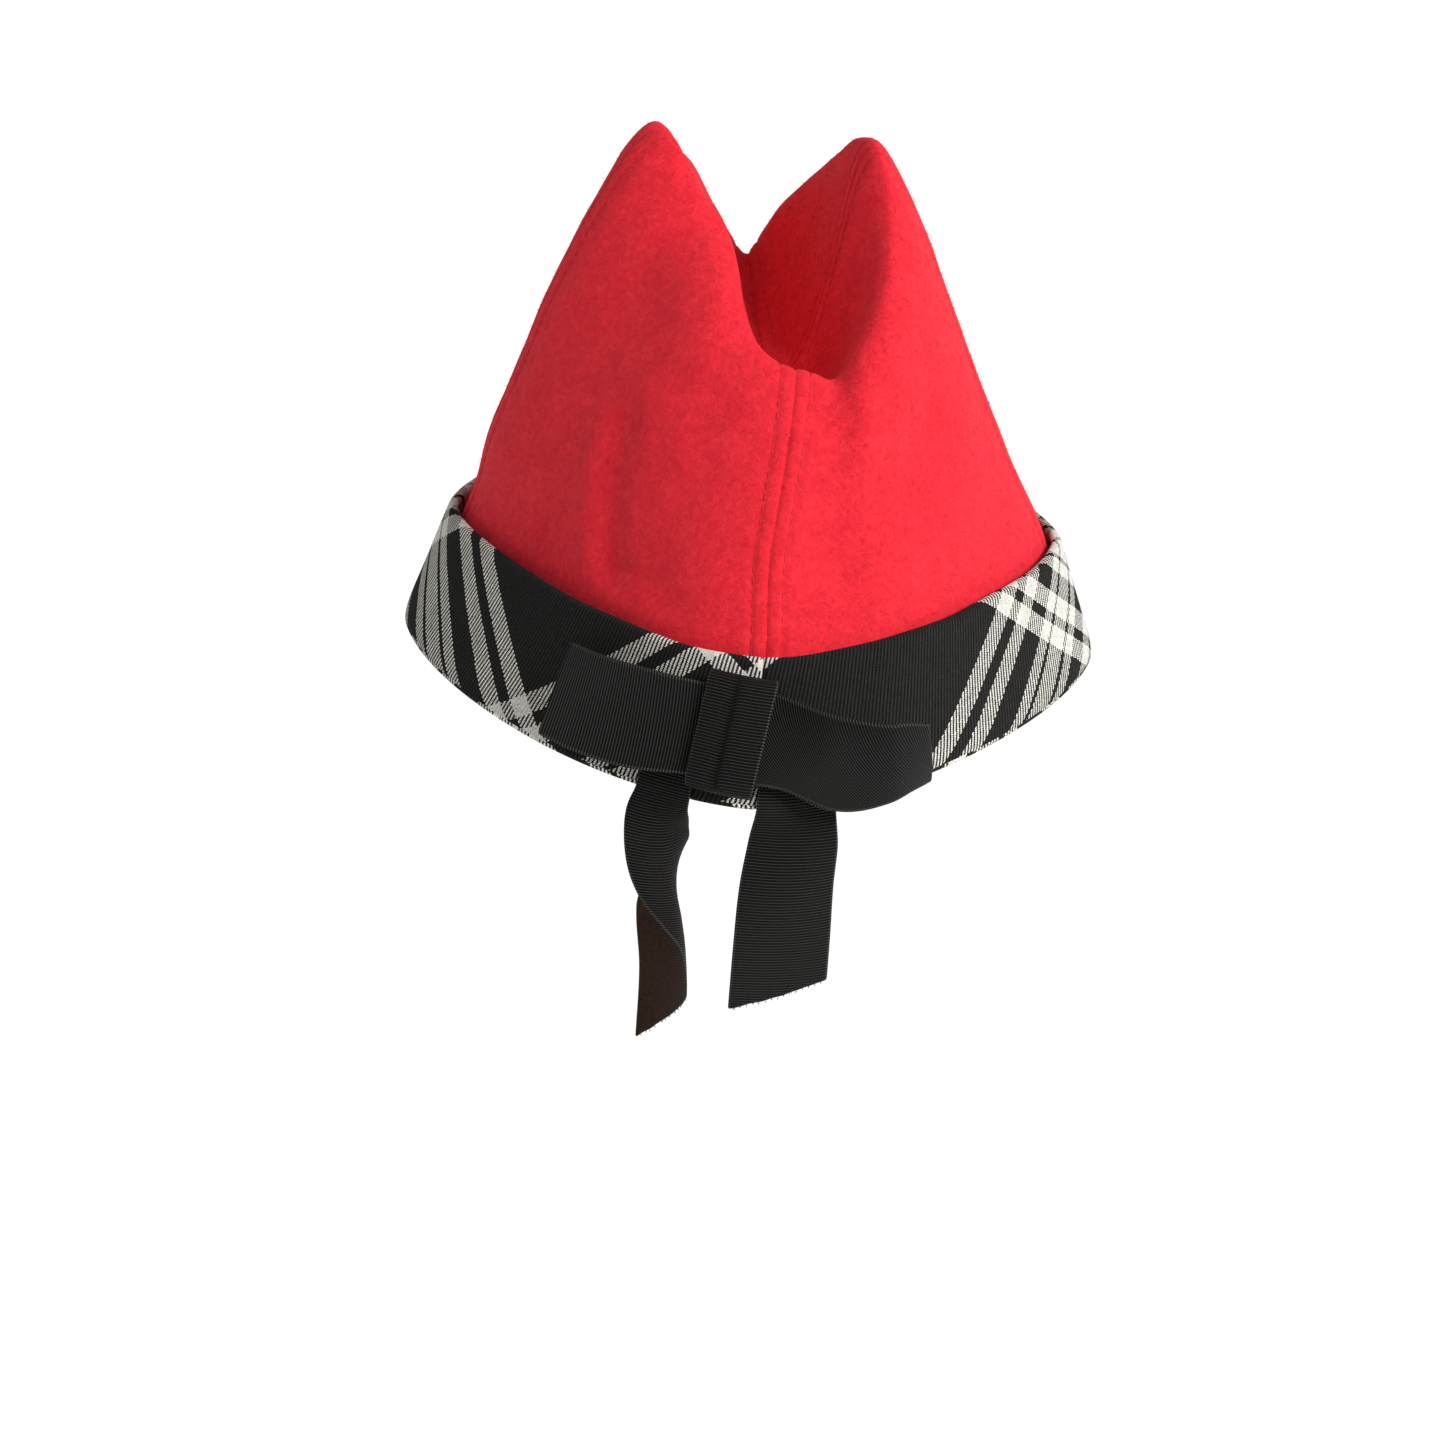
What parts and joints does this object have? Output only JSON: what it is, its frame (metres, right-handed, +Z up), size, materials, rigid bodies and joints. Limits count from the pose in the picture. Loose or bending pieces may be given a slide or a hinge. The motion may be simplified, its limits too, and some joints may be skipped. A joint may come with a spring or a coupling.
{
  "type": "wool envelope hat with a turned-up tartan cuff and a ribbon bow",
  "caption": "Soft wool hat whose pushed-in crown stands in two peaks, with a turned-up black and cream tartan cuff and a flat grosgrain bow with hanging tails over the cuff's seam.",
  "frame": {"origin": "middle of the head opening, on the plane of the cuff's lower edge", "axes": "+Z up out of the crown, -Y towards the bow side, +X to the right as seen facing the bow"},
  "size_m": [0.187, 0.2078, 0.2184],
  "materials": {
    "red_wool": "felted wool cloth, dull and slightly fuzzy",
    "tartan_wool": "black and cream wool twill woven in a tartan, cut on the bias",
    "black_grosgrain": "ribbed ribbon with a soft sheen"
  },
  "bodies": {
    "root": {"crown_panel_bow_right": "red_wool", "crown_panel_far_right": "red_wool", "crown_panel_far_left": "red_wool", "crown_panel_bow_left": "red_wool", "cuff": "tartan_wool", "bow_loop_left": "black_grosgrain", "bow_loop_right": "black_grosgrain", "bow_knot": "black_grosgrain", "bow_tail_left": "black_grosgrain", "bow_tail_right": "black_grosgrain"}
  },
  "joints": []
}
